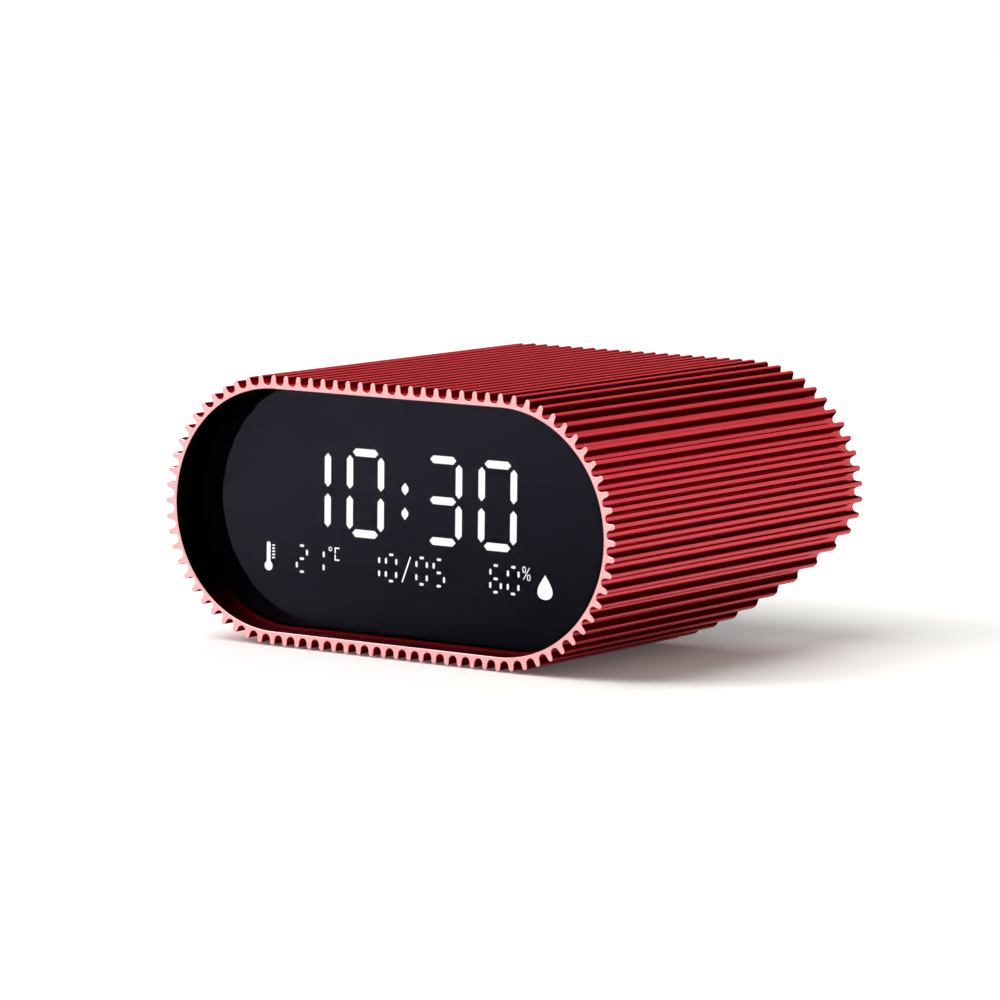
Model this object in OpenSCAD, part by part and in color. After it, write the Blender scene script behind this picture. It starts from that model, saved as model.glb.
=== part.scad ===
// Digital alarm clock: a ribbed stadium-shaped tube with a recessed display and rear push buttons.
// Millimetres, +Z up, display facing -Y, origin under the middle of the body on the surface it stands on.

/* [Body] */
// Width over the rib tips
body_w = 120; // [110:0.5:150]
// Height over the rib tips
body_h = 59.6; // [54:0.1:72]
// Depth from the front edge to the rear edge
body_d = 101; // [91:0.5:140]
// Wall of the tube under the grooves
shell_wall = 0.7; // [0.6:0.1:1.4]
// Angle between the upright rear and the slope under it
slope_angle = 60.7; // [50:0.1:62]
// Drop below the axis of the tube of the corner between the upright rear and the slope
slope_drop = 5.7; // [5.2:0.1:8]
// Radius of the bend that rounds this corner
bend_radius = 13; // [11:0.5:15.5]

/* [Ribs] */
// Distance from rib to rib, rounded to a whole number of ribs
rib_pitch = 3.4; // [3.2:0.05:5]
// Height of a rib above the bottom of its groove
rib_height = 2.25; // [1.8:0.05:2.6]
// Thickness of a rib at its round tip
rib_thickness = 1.2; // [0.8:0.05:1.4]
// Radius of the round bottom of a groove
groove_radius = 1.05; // [0.7:0.05:1.1]

/* [Visor] */
// Depth of the lens behind the front edge
visor_depth = 7.1; // [5:0.1:14]
// Height of the lip that stops the lens
lip_height = 0.4; // [0.3:0.05:0.8]
// Thickness of the lip that stops the lens
lip_thickness = 0.6; // [0.4:0.1:1.2]
// Thickness of the lens
lens_thickness = 1.2; // [1:0.1:2]
// Gap between the lens and the tube
lens_gap = 0.15; // [0.1:0.05:0.25]
// Thickness of the black sealing ring behind the lens
gasket_thickness = 0.3; // [0.2:0.1:1]
// Width of the black sealing ring behind the lens
gasket_width = 2.4; // [1.5:0.1:3.5]

/* [Display] */
// Sideways place of the middle of the display
display_shift = -0.95; // [-3:0.05:3]
// Height of the middle of the time above the axis of the tube
time_z = 4.4; // [2:0.1:6]
// Height of a time digit between its bar centres
time_h = 17.85; // [14:0.05:19]
// Width of a time digit between its bar centres
time_w = 8.4; // [7:0.1:9.5]
// Distance between two neighbouring time digits
time_pitch = 14.4; // [13:0.1:15.5]
// Distance between the two digits beside the colon
time_middle_pitch = 20.8; // [18:0.1:22]
// Thickness of a time segment
time_bar = 1.7; // [1.4:0.05:2.2]
// Height of the row of readings below the axis of the tube
reading_drop = 11.4; // [10.5:0.1:13]
// Height of a reading digit between its bar centres
reading_h = 5.8; // [5:0.1:6.4]
// Width of a reading digit between its bar centres
reading_w = 2.78; // [2.6:0.01:3.2]
// Distance between two neighbouring reading digits
reading_pitch = 4.6; // [4.2:0.05:5]
// Thickness of a reading segment
reading_bar = 0.56; // [0.45:0.01:0.75]
// Depth of the light box behind the gasket
reflector_thickness = 6; // [5:0.1:8]
// Thickness of the light windows
window_thickness = 1.5; // [1:0.1:2.5]

/* [Inside] */
// Wall of the inner frame
frame_wall = 1.8; // [1.4:0.1:2.2]
// Gap between the inner frame and the tube
frame_gap = 0.2; // [0.1:0.05:0.3]
// Thickness of both circuit boards
pcb_thickness = 1.6; // [1:0.1:2]
// Height of the posts between the rear cover and the main board
post_height = 9.5; // [8.5:0.1:11]
// Width of the battery
battery_w = 34; // [28:1:36]
// Length of the battery
battery_l = 26; // [20:1:32]
// Thickness of the battery
battery_t = 8; // [5:0.5:9]
// Thickness of the foam pad under the battery
pad_t = 1; // [0.5:0.1:2]
// Diameter of the buzzer
buzzer_d = 12; // [9:0.5:13]
// Height of the buzzer
buzzer_h = 7; // [5:0.1:8]

/* [Rear] */
// Thickness of the rear cover
cover_thickness = 3; // [2.5:0.1:4]
// Depth of the rear cover inside the rear edge
cover_recess = 2.5; // [1.5:0.1:5]
// Diameter of a round button
button_d = 8; // [7:0.1:9]
// Distance between two round buttons
button_pitch = 14; // [12.5:0.1:15]
// Length of the snooze bar between its round ends
snooze_l = 30; // [24:0.5:34]
// Width of the snooze bar
snooze_w = 7; // [6:0.1:8]
// Height of the buttons over the rear cover
button_proud = 1.2; // [0.8:0.1:1.4]
// Gap round a button
button_gap = 0.25; // [0.2:0.05:0.4]
// Travel of a button
button_travel = 0.5; // [0.3:0.05:0.6]

/* [Feet] */
// Diameter of a foot
foot_d = 8; // [7:0.1:9]
// Height of a foot below the rib tips
foot_proud = 0.3; // [0.2:0.05:1]
// Gap round a foot in its pocket
foot_gap = 0.15; // [0.1:0.05:0.3]

/* [Hidden] */
$fn = 72;

// Extra length of a cutting tool past the face that it opens
cut = 1;

// Radii of the tube, measured from the two end axes
straight = body_w - body_h;
tip_radius = body_h / 2;
root_radius = tip_radius - rib_height;
bore_radius = root_radius - shell_wall;
frame_radius = bore_radius - frame_gap;
inside_radius = frame_radius - frame_wall;
axis_z = foot_proud + tip_radius;

// Rib counts and the steps that draw the round tips and grooves
straight_ribs = round(straight / rib_pitch);
arc_ribs = round(PI * (root_radius + rib_height / 2) / rib_pitch);
rib_count = 2 * (straight_ribs + arc_ribs);
tip_steps = 6;
groove_steps = 6;

// Depths behind the front edge
lens_back = visor_depth + lens_thickness;
reflector_front = lens_back + gasket_thickness;
reflector_back = reflector_front + reflector_thickness;
display_back = reflector_back + pcb_thickness;
cover_back = body_d - cover_recess;
cover_front = cover_back - cover_thickness;
main_back = cover_front - post_height;
main_front = main_back - pcb_thickness;

// Rear of the tube from the side: upright above, then round a bend into the slope
cover_inset = cover_recess + cover_thickness;
bend_steps = 12;
bend_depth = body_d - bend_radius;
bend_z = bend_radius * tan(slope_angle / 2) - slope_drop;
function slope_depth(z, inset) = body_d + (z + slope_drop) * tan(slope_angle) - inset / cos(slope_angle);
function slope_z(depth, inset) = (depth - body_d + inset / cos(slope_angle)) / tan(slope_angle) - slope_drop;

// Screws, one size throughout
screw_radius = 0.95;
pilot_radius = 1;
clearance_radius = 1.2;
head_radius = 1.9;
head_height = 1.3;
head_gap = 0.25;
screw_grip = 5;
screw_end_gap = 0.5;
driver_slot = 0.45;
driver_reach = 2.2;
driver_depth = 0.6;

// Posts of the inner frame that take the cover screws
post_radius = 3.2;
upper_post_angle = 40;
lower_post_angle = 12;
post_inset = 2.2;
post_reach = inside_radius - post_inset;
cover_post_length = 14;
COVER_POSTS = [
    for (side = [-1, 1], a = [upper_post_angle, lower_post_angle])
        [side * (straight / 2 + post_reach * cos(a)), post_reach * sin(a)]
];
CORNERS = [[1, 1], [-1, 1], [-1, -1], [1, -1]];

// Feet and the screws above them, through the tube into the inner frame
foot_edge = 4;
foot_x = straight / 2 - foot_edge;
foot_front_gap = 8;
foot_rear_gap = 10;
foot_front = reflector_back + foot_front_gap;
foot_rear = slope_depth(-tip_radius, 0) - foot_rear_gap;
foot_boss_radius = 3;
foot_boss_height = 5;
foot_head_gap = 0.3;
FEET = [[foot_x, foot_front], [-foot_x, foot_front], [-foot_x, foot_rear], [foot_x, foot_rear]];

// Switches and buttons, in two rows on the upright part of the rear
switch_size = 6;
switch_height = 3.5;
switch_bore_depth = 1.6;
plunger_radius = 1.75;
plunger_gap = 0.2;
plunger_out = 1.5;
plunger_end_gap = 0.1;
stem_radius = 1.5;
flange_width = 0.8;
flange_thickness = 1;
flange_gap = 0.05;
symbol_depth = 0.3;
symbol_bar = 0.8;
symbol_size = 4;
bend_gap = 0.1;
row_gap = 0.6;
button_row_z = bend_z + bend_gap + flange_width + button_d / 2;
snooze_row_z = button_row_z + button_d / 2 + 2 * flange_width + row_gap + snooze_w / 2;
BUTTONS = [for (i = [1.5 : -1 : -1.5]) [i * button_pitch, button_row_z]];
SNOOZE = [0, snooze_row_z];
ALL_SWITCHES = concat([SNOOZE], BUTTONS);
switch_back = main_back + switch_height;
plunger_back = switch_back + plunger_out;

// Main board, clear of the cover posts, the inner frame and the slope
board_gap = 1;
board_edge_gap = 0.3;
board_bottom_gap = 2;
board_half = straight / 2 + post_reach * cos(upper_post_angle) - post_radius - board_gap;
board_bottom = slope_z(main_back, cover_inset) + board_bottom_gap;
board_post_radius = 3;
upper_post_gap = 1.5;
upper_post_x = (snooze_l + snooze_w) / 2 + flange_width + upper_post_gap + board_post_radius;
lower_post_x = 16;
lower_post_rise = 0.5;
lower_post_z = board_bottom + lower_post_rise + board_post_radius;
BOARD_POSTS = [
    [upper_post_x, snooze_row_z], [-upper_post_x, snooze_row_z],
    [-lower_post_x, lower_post_z], [lower_post_x, lower_post_z]
];
buzzer_inset = 0.3;
BUZZER = [board_half - buzzer_d / 2 - buzzer_inset, button_row_z];
sensor_inset = 5.5;
sensor_size = 3;
sensor_height = 1;
SENSOR = [sensor_inset - board_half, snooze_row_z];

// Charging socket, upright on the main board
usb_radius = 1.6;
usb_wall = 0.3;
usb_straight = 5.8;
usb_floor = 1;
usb_set_back = 0.4;
usb_gap = 0.25;
tongue_w = 6.6;
tongue_t = 0.7;
tongue_set_back = 0.8;
usb_inset = 2;
USB = [usb_inset + usb_radius + usb_straight / 2 - board_half, button_row_z];

// Sound holes and air slots of the rear cover
sound_hole_radius = 0.9;
sound_ring_radius = 3.6;
sound_hole_count = 6;
slot_w = 1.2;
slot_l = 6;
slot_pitch = 2.6;
slot_count = 4;

// Which segments each figure lights, in the order top, upper right, lower right, bottom, lower left,
// upper left and middle
FIGURES = [
    [1, 1, 1, 1, 1, 1, 0], [0, 1, 1, 0, 0, 0, 0], [1, 1, 0, 1, 1, 0, 1], [1, 1, 1, 1, 0, 0, 1],
    [0, 1, 1, 0, 0, 1, 1], [1, 0, 1, 1, 0, 1, 1], [1, 0, 1, 1, 1, 1, 1], [1, 1, 1, 0, 0, 0, 0],
    [1, 1, 1, 1, 1, 1, 1], [1, 1, 1, 1, 0, 1, 1]
];
TIME = [1, 0, 3, 0];
READINGS = [2, 1, 1, 0, 0, 5, 6, 0];

// Places of the figures, sideways from the middle of the display
inner_digit = time_middle_pitch / 2;
TIME_X = [-inner_digit - time_pitch, -inner_digit, inner_digit, inner_digit + time_pitch];
temperature_x = -25.3;
date_left_x = -5.6;
date_right_x = 7.2;
humidity_x = 26.8;
READING_X = [
    for (middle = [temperature_x, date_left_x, date_right_x, humidity_x], side = [-0.5, 0.5])
        middle + side * reading_pitch
];

// Segment lengths leave this much free between the tips of neighbours
time_tip_gap = 1.47;
reading_tip_gap = 1.6;
well_gap = 0.02;
time_led = [1.6, 0.8, 0.7];
reading_led = [0.7, 0.4, 0.4];
sign_led = 0.25;

// Colon and signs, sideways from the middle of the display and up from the time or the readings
colon_w = 1.8;
colon_h = 2.75;
colon_side = 0.7;
colon_x = 0.3;
colon_z = -0.9;
colon_pitch = 5.4;
slash_x = 0.8;
slash_l = 6.2;
slash_bar = 0.32;
slash_lean = 21;
thermometer_x = -36.8;
thermometer_top = 3.1;
thermometer_stem_w = 1.05;
thermometer_bulb_z = -2.3;
thermometer_bulb_radius = 1.1;
tick_count = 5;
tick_l = 0.85;
tick_t = 0.34;
tick_pitch = 0.69;
tick_gap = 0.42;
tick_top = 2.35;
degree_x = -19.8;
degree_z = 2.8;
degree_radius = 0.5;
degree_bar = 0.2;
celsius_x = -18;
celsius_w = 1.3;
celsius_h = 2.95;
celsius_bar = 0.32;
celsius_gap = 0.3;
percent_x = 32.55;
percent_l = 3.15;
percent_lean = 31;
percent_bar = 0.18;
percent_ring_w = 0.9;
percent_ring_h = 1.44;
percent_hole_w = percent_ring_w - 2 * percent_bar;
percent_hole_h = percent_ring_h - 2 * percent_bar;
percent_ring_x = 0.61;
percent_ring_z = 0.83;
drop_x = 37.4;
drop_z = -0.75;
drop_w = 3.95;
drop_h = 5.4;
drop_power = 1.4;
drop_steps = 32;
sign_rise = 1.8;

// Display board parts
display_screw_reach = 14;
display_screw_x = straight / 2 + display_screw_reach;
display_screw_z = 8;
chip_size = 8;
chip_height = 1.2;
driver_chip_x = 14;
driver_chip_drop = 6;
control_chip_size = 10;
control_chip_x = 14;
chip_row_z = 8;
power_chip_size = 4;
power_chip_x = 14;
power_chip_pitch = 8;
POWER_CHIPS = [
    [-power_chip_x, chip_row_z + power_chip_pitch / 2], [-power_chip_x, chip_row_z - power_chip_pitch / 2],
    [-power_chip_x - power_chip_pitch, chip_row_z]
];

// Ribbon between the two boards, along the roof of the inner frame
ribbon_w = 12;
ribbon_t = 0.3;
connector_w = 15;
connector_h = 4;
connector_depth = 2.5;
ribbon_front_z = 4;
ribbon_rear_z = 9;
ribbon_roof_gap = 0.3;
ribbon_bend = 6;
ribbon_roof_z = inside_radius - ribbon_roof_gap;
ribbon_start = display_back + connector_depth;
ribbon_end = main_front - connector_depth;
RIBBON = [
    [ribbon_start, ribbon_front_z],
    [ribbon_start + ribbon_bend * 2 / 3, ribbon_front_z],
    [ribbon_start + ribbon_bend * 3 / 2, ribbon_front_z + ribbon_bend * 2 / 3],
    [ribbon_start + ribbon_bend * 13 / 6, ribbon_roof_z - ribbon_bend],
    [ribbon_start + ribbon_bend * 3, ribbon_roof_z - ribbon_bend / 6],
    [ribbon_start + ribbon_bend * 4, ribbon_roof_z],
    [ribbon_end - ribbon_bend * 4, ribbon_roof_z],
    [ribbon_end - ribbon_bend * 3, ribbon_roof_z - ribbon_bend / 6],
    [ribbon_end - ribbon_bend * 13 / 6, ribbon_roof_z - ribbon_bend * 5 / 6],
    [ribbon_end - ribbon_bend * 4 / 3, ribbon_rear_z + ribbon_bend / 2],
    [ribbon_end - ribbon_bend * 2 / 3, ribbon_rear_z],
    [ribbon_end, ribbon_rear_z]
];
ribbon_steps = 4;

// Battery on the floor of the inner frame, and its leads
battery_corner = 2;
battery_rear_gap = 3.4;
pad_inset = 3;
pad_z = -inside_radius;
battery_back = slope_depth(pad_z + pad_t, cover_inset) - battery_rear_gap;
battery_z = pad_z + pad_t + battery_t / 2;
lead_radius = 0.6;
lead_sides = 8;
lead_x = 1.5;
battery_plug = [8, 4, 5];
plug_rise = 1;
lead_plug_z = board_bottom + plug_rise + battery_plug[2] / 2;
lead_run = main_front - battery_plug[1] - battery_back;
lead_rise = lead_plug_z - battery_z;
LEAD_STEPS = [[0, 0], [0.08, 0], [0.25, 0.08], [0.42, 0.3], [0.6, 0.68], [0.78, 0.93], [0.92, 1], [1, 1]];
LEAD = [for (s = LEAD_STEPS) [battery_back + s[0] * lead_run, battery_z + s[1] * lead_rise]];

// Place of a point on the rib outline: station along the outline in ribs, then sideways and outward
function station_angle(s) =
    s <= straight_ribs ? 90
    : s <= straight_ribs + arc_ribs ? 90 - 180 * (s - straight_ribs) / arc_ribs
    : s <= 2 * straight_ribs + arc_ribs ? -90
    : -90 - 180 * (s - 2 * straight_ribs - arc_ribs) / arc_ribs;
function station_x(s) =
    s <= straight_ribs ? straight * (s / straight_ribs - 0.5)
    : s <= straight_ribs + arc_ribs ? straight / 2
    : s <= 2 * straight_ribs + arc_ribs ? straight * (0.5 - (s - straight_ribs - arc_ribs) / straight_ribs)
    : -straight / 2;
function outline_point(s, side, out) =
    let (a = station_angle(s))
    [station_x(s) + out * cos(a) + side * sin(a), out * sin(a) - side * cos(a)];
function tip_points(s) = let (r = rib_thickness / 2) [
    for (i = [0 : tip_steps])
        let (a = -90 + 180 * i / tip_steps)
        outline_point(s, r * sin(a), tip_radius - r + r * cos(a))
];
function groove_points(s) = let (r = groove_radius) [
    for (i = [0 : groove_steps])
        let (a = -90 + 180 * i / groove_steps)
        outline_point(s, r * sin(a), root_radius + r - r * cos(a))
];

// Points of a bar with half-round ends, along x
function dash_points(l, w, steps = 5) = [
    for (end = [0, 1], i = [0 : steps])
        let (a = -90 + 180 * end + 180 * i / steps, side = 1 - 2 * end)
        [side * (l - w) / 2 + w / 2 * cos(a), w / 2 * sin(a)]
];

// Smooth path through points, and the outline of a strip along it
function spline(a, b, c, d, u) =
    0.5 * (2 * b + (c - a) * u + (2 * a - 5 * b + 4 * c - d) * u * u + (3 * b - a - 3 * c + d) * u * u * u);
function smooth(p, steps) = concat(
    [
        for (i = [0 : len(p) - 2], k = [0 : steps - 1])
            spline(p[max(i - 1, 0)], p[i], p[i + 1], p[min(i + 2, len(p) - 1)], k / steps)
    ],
    [p[len(p) - 1]]
);
function path_direction(p, i) =
    let (d = p[min(i + 1, len(p) - 1)] - p[max(i - 1, 0)])
    d / norm(d);
function strip_side(p, half) = [
    for (i = [0 : len(p) - 1])
        let (d = i == 0 || i == len(p) - 1 ? [1, 0] : path_direction(p, i))
        p[i] + half * [-d[1], d[0]]
];
function reversed(p) = [for (i = [len(p) - 1 : -1 : 0]) p[i]];

// A flat outline, drawn in x and z, made solid from a depth towards the rear
module slab(depth, thickness) {
    translate([0, depth + thickness - body_d / 2, axis_z])
        rotate([90, 0, 0])
            linear_extrude(thickness)
                children();
}

// An outline drawn in depth and z, made solid along x about the middle
module side_slab(x, width) {
    translate([x - width / 2, -body_d / 2, axis_z])
        rotate([90, 0, 90])
            linear_extrude(width)
                children();
}

// The tube from the side, drawn in depth and z, set in from its rear
module side_profile(inset = 0) {
    r = bend_radius - inset;
    under = -tip_radius - cut;
    bend = [
        for (i = [0 : bend_steps])
            let (a = -slope_angle * i / bend_steps)
            [bend_depth + r * cos(a), bend_z + r * sin(a)]
    ];
    polygon(concat(
        [[-cut, -under], [body_d - inset, -under]],
        bend,
        [[slope_depth(under, inset), under], [-cut, under]]
    ));
}

module behind_profile(inset) {
    intersection() {
        children();
        side_slab(0, body_w + 2 * cut)
            side_profile(inset);
    }
}

module stadium(r, l = straight) {
    square([l, 2 * r], center = true);
    for (side = [-1, 1])
        translate([side * l / 2, 0])
            circle(r);
}

module rounded_square(w, h, r) {
    square([w - 2 * r, h], center = true);
    square([w, h - 2 * r], center = true);
    for (c = CORNERS)
        translate([c[0] * (w / 2 - r), c[1] * (h / 2 - r)])
            circle(r);
}

module rib_outline() {
    polygon([for (s = [0 : rib_count - 1], p = concat(tip_points(s), groove_points(s + 0.5))) p]);
}

// A bar with pointed ends
module pointed_bar(l, w) {
    x = (l - w) / 2;
    polygon([[-l / 2, 0], [-x, -w / 2], [x, -w / 2], [l / 2, 0], [x, w / 2], [-x, w / 2]]);
}

// Seven segments of one figure, those whose state is asked for, or all of them
module figure(value, w, h, tip_gap, states) {
    for (s = [0 : 6])
        if (search(FIGURES[value][s], states) != []) {
            upright = s == 1 || s == 2 || s == 4 || s == 5;
            x = s == 1 || s == 2 ? w / 2 : s == 4 || s == 5 ? -w / 2 : 0;
            z = s == 0 ? h / 2 : s == 3 ? -h / 2 : s == 6 ? 0 : s == 1 || s == 5 ? h / 4 : -h / 4;
            translate([x, z])
                rotate(upright ? 90 : 0) {
                    $bar_length = (upright ? h / 2 : w) - tip_gap;
                    children();
                }
        }
}

module time_figures(states) {
    for (i = [0 : 3])
        translate([display_shift + TIME_X[i], time_z])
            figure(TIME[i], time_w, time_h, time_tip_gap, states)
                children();
}

module reading_figures(states) {
    for (i = [0 : 7])
        translate([display_shift + READING_X[i], -reading_drop])
            figure(READINGS[i], reading_w, reading_h, reading_tip_gap, states)
                children();
}

module colon_places() {
    for (side = [-1, 1])
        translate([display_shift + colon_x, time_z + colon_z + side * colon_pitch / 2])
            children();
}

module time_shapes(states, gap = 0) {
    time_figures(states)
        pointed_bar($bar_length + 2 * gap, time_bar + 2 * gap);
}

module colon_shapes(gap = 0) {
    w = colon_w + 2 * gap;
    h = colon_h + 2 * gap;
    side = colon_side / 2;
    colon_places()
        polygon([
            [-w / 2, -side], [0, -h / 2], [w / 2, -side], [w / 2, side], [0, h / 2], [-w / 2, side]
        ]);
}

module reading_shapes(states, gap = 0) {
    reading_figures(states)
        polygon(dash_points($bar_length + 2 * gap, reading_bar + 2 * gap));
}

module slash_shape(gap = 0) {
    translate([display_shift + slash_x, -reading_drop])
        rotate(90 - slash_lean)
            polygon(dash_points(slash_l + 2 * gap, slash_bar + 2 * gap));
}

module thermometer_shape(gap = 0) {
    stem_w = thermometer_stem_w + 2 * gap;
    stem_h = thermometer_top - thermometer_bulb_z + 2 * gap;
    translate([display_shift + thermometer_x, -reading_drop]) {
        translate([0, (thermometer_top + thermometer_bulb_z) / 2])
            rotate(90)
                polygon(dash_points(stem_h, stem_w));
        translate([0, thermometer_bulb_z])
            circle(thermometer_bulb_radius + gap);
    }
}

module tick_shapes(gap = 0) {
    x = thermometer_x + thermometer_stem_w / 2 + tick_gap + tick_l / 2;
    translate([display_shift + x, tick_top - reading_drop])
        for (i = [0 : tick_count - 1])
            translate([0, -i * tick_pitch])
                polygon(dash_points(tick_l + 2 * gap, tick_t + 2 * gap));
}

module degree_shape(gap = 0) {
    translate([display_shift + degree_x, degree_z - reading_drop])
        difference() {
            circle(degree_radius + gap);
            if (gap == 0)
                circle(degree_radius - degree_bar);
        }
}

// Two angles that face each other, with a gap between them
module celsius_shape(gap = 0) {
    upright = (celsius_h - celsius_gap) / 2;
    translate([display_shift + celsius_x, sign_rise - reading_drop])
        for (side = [-1, 1]) {
            translate([0, side * (celsius_h - celsius_bar) / 2])
                square([celsius_w + 2 * gap, celsius_bar + 2 * gap], center = true);
            translate([(celsius_bar - celsius_w) / 2, side * (celsius_h - upright) / 2])
                square([celsius_bar + 2 * gap, upright + 2 * gap], center = true);
        }
}

// Two long rings beside a bar; the wells that make room for them have no island inside
module percent_shapes(gap = 0) {
    translate([display_shift + percent_x, sign_rise - reading_drop]) {
        rotate(90 - percent_lean)
            square([percent_l + 2 * gap, percent_bar + 2 * gap], center = true);
        for (side = [-1, 1])
            translate([-side * percent_ring_x, side * percent_ring_z])
                rotate(90)
                    difference() {
                        polygon(dash_points(percent_ring_h + 2 * gap, percent_ring_w + 2 * gap));
                        if (gap == 0)
                            polygon(dash_points(percent_hole_h, percent_hole_w));
                    }
    }
}

// Points of a drop with its point up, one unit high and wide
function drop_reach(a) = sin(a) * pow(sin(a / 2), drop_power);
function drop_points() =
    let (
        angles = [for (i = [0 : drop_steps - 1]) 360 * i / drop_steps],
        widest = max([for (a = angles) drop_reach(a)])
    )
    [for (a = angles) [-drop_reach(a) / widest / 2, cos(a) / 2]];

module drop_shape(gap = 0) {
    size = [drop_w + 2 * gap, drop_h + 2 * gap];
    translate([display_shift + drop_x, drop_z - reading_drop])
        polygon([for (p = drop_points()) [p[0] * size[0], p[1] * size[1]]]);
}

module icon_shapes(gap = 0) {
    slash_shape(gap);
    thermometer_shape(gap);
    tick_shapes(gap);
    degree_shape(gap);
    celsius_shape(gap);
    percent_shapes(gap);
    drop_shape(gap);
}

// A screw along y with its head at the rear, or turned to face the front
module screw(depth, length, toward_front = false) {
    head_start = toward_front ? depth - head_height : depth;
    slot_start = toward_front ? head_start - cut : depth + head_height - driver_depth;
    difference() {
        union() {
            slab(toward_front ? depth : depth - length, length)
                circle(screw_radius);
            slab(head_start, head_height)
                circle(head_radius);
        }
        slab(slot_start, driver_depth + cut) {
            square([driver_reach, driver_slot], center = true);
            square([driver_slot, driver_reach], center = true);
        }
    }
}

module at(place) {
    translate([place[0], 0, place[1]])
        children();
}

module ribbed_shell() {
    color("firebrick")
        difference() {
            behind_profile(0)
                slab(0, body_d)
                    rib_outline();
            slab(-cut, visor_depth - lip_thickness + cut)
                stadium(bore_radius);
            slab(visor_depth, body_d - visor_depth + cut)
                stadium(bore_radius);
            slab(-cut, body_d + 2 * cut)
                stadium(bore_radius - lip_height);
            for (f = FEET)
                translate([f[0], f[1] - body_d / 2, axis_z - tip_radius - cut]) {
                    cylinder(r = foot_d / 2 + foot_gap, h = rib_height + cut);
                    cylinder(r = clearance_radius, h = rib_height + shell_wall + 2 * cut);
                }
        }
}

module lens() {
    color("dimgray")
        slab(visor_depth, lens_thickness)
            stadium(bore_radius - lens_gap);
}

module lens_gasket() {
    color("black")
        slab(lens_back, gasket_thickness)
            difference() {
                stadium(bore_radius - lens_gap);
                stadium(bore_radius - gasket_width);
            }
}

module display_screw_places() {
    for (c = CORNERS)
        at([c[0] * display_screw_x, c[1] * display_screw_z])
            children();
}

module display_reflector() {
    color("black")
        difference() {
            slab(reflector_front, reflector_thickness)
                difference() {
                    stadium(bore_radius - lens_gap);
                    time_shapes([0, 1], well_gap);
                    colon_shapes(well_gap);
                    reading_shapes([0, 1], well_gap);
                    icon_shapes(well_gap);
                }
            display_screw_places()
                slab(display_back - screw_grip - screw_end_gap, screw_grip + screw_end_gap)
                    circle(pilot_radius);
        }
}

module time_windows() {
    color("white")
        slab(reflector_front, window_thickness) {
            time_shapes([1]);
            colon_shapes();
        }
}

module time_windows_unlit() {
    color("dimgray")
        slab(reflector_front, window_thickness)
            time_shapes([0]);
}

module reading_windows() {
    color("white")
        slab(reflector_front, window_thickness)
            reading_shapes([1]);
}

module reading_windows_unlit() {
    color("dimgray")
        slab(reflector_front, window_thickness)
            reading_shapes([0]);
}

module icon_windows() {
    color("white")
        slab(reflector_front, window_thickness)
            icon_shapes();
}

module display_board() {
    color("darkgreen")
        difference() {
            slab(reflector_back, pcb_thickness)
                stadium(inside_radius - board_edge_gap);
            display_screw_places()
                slab(reflector_back - cut, pcb_thickness + 2 * cut)
                    circle(clearance_radius);
        }
}

module time_leds() {
    color("lightyellow")
        slab(reflector_back - time_led[2], time_led[2]) {
            time_figures([0, 1])
                square([time_led[0], time_led[1]], center = true);
            colon_places()
                square([time_led[1], time_led[1]], center = true);
        }
}

module reading_leds() {
    color("lightyellow")
        slab(reflector_back - reading_led[2], reading_led[2]) {
            reading_figures([0, 1])
                square([reading_led[0], reading_led[1]], center = true);
            for (x = [slash_x, thermometer_x, drop_x])
                translate([display_shift + x, -reading_drop])
                    square(sign_led, center = true);
        }
}

module driver_chips() {
    color("black")
        slab(display_back, chip_height)
            for (side = [-1, 1])
                translate([side * driver_chip_x, -driver_chip_drop])
                    square(chip_size, center = true);
}

module display_screws() {
    color("silver")
        display_screw_places()
            screw(display_back, screw_grip);
}

module inner_frame() {
    color("darkslategray")
        difference() {
            union() {
                behind_profile(cover_inset)
                    slab(reflector_back, cover_front - reflector_back)
                        difference() {
                            stadium(frame_radius);
                            stadium(inside_radius);
                        }
                for (p = COVER_POSTS)
                    at(p)
                        slab(cover_front - cover_post_length, cover_post_length)
                            circle(post_radius);
                for (f = FEET)
                    translate([f[0], f[1] - body_d / 2, axis_z - inside_radius - frame_wall / 2])
                        cylinder(r = foot_boss_radius, h = foot_boss_height + frame_wall / 2);
            }
            for (p = COVER_POSTS)
                at(p)
                    slab(cover_front - screw_grip - screw_end_gap, screw_grip + screw_end_gap + cut)
                        circle(pilot_radius);
            for (f = FEET)
                translate([f[0], f[1] - body_d / 2, axis_z - frame_radius - cut])
                    cylinder(r = pilot_radius, h = screw_grip + screw_end_gap + cut);
        }
}

module display_ribbon() {
    path = smooth(RIBBON, ribbon_steps);
    color("whitesmoke")
        side_slab(0, ribbon_w)
            polygon(concat(strip_side(path, ribbon_t / 2), reversed(strip_side(path, -ribbon_t / 2))));
}

module ribbon_connectors() {
    color("ivory") {
        at([0, ribbon_front_z])
            slab(display_back, connector_depth)
                square([connector_w, connector_h], center = true);
        at([0, ribbon_rear_z])
            slab(ribbon_end, connector_depth)
                square([connector_w, connector_h], center = true);
    }
}

module battery_cell() {
    color("lightsteelblue")
        at([0, battery_z])
            slab(battery_back - battery_l, battery_l)
                rounded_square(battery_w, battery_t, battery_corner);
}

module battery_pad() {
    color("gray")
        at([0, pad_z + pad_t / 2])
            slab(battery_back - battery_l + pad_inset, battery_l - 2 * pad_inset)
                square([battery_w - 2 * battery_corner - pad_inset, pad_t], center = true);
}

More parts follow.
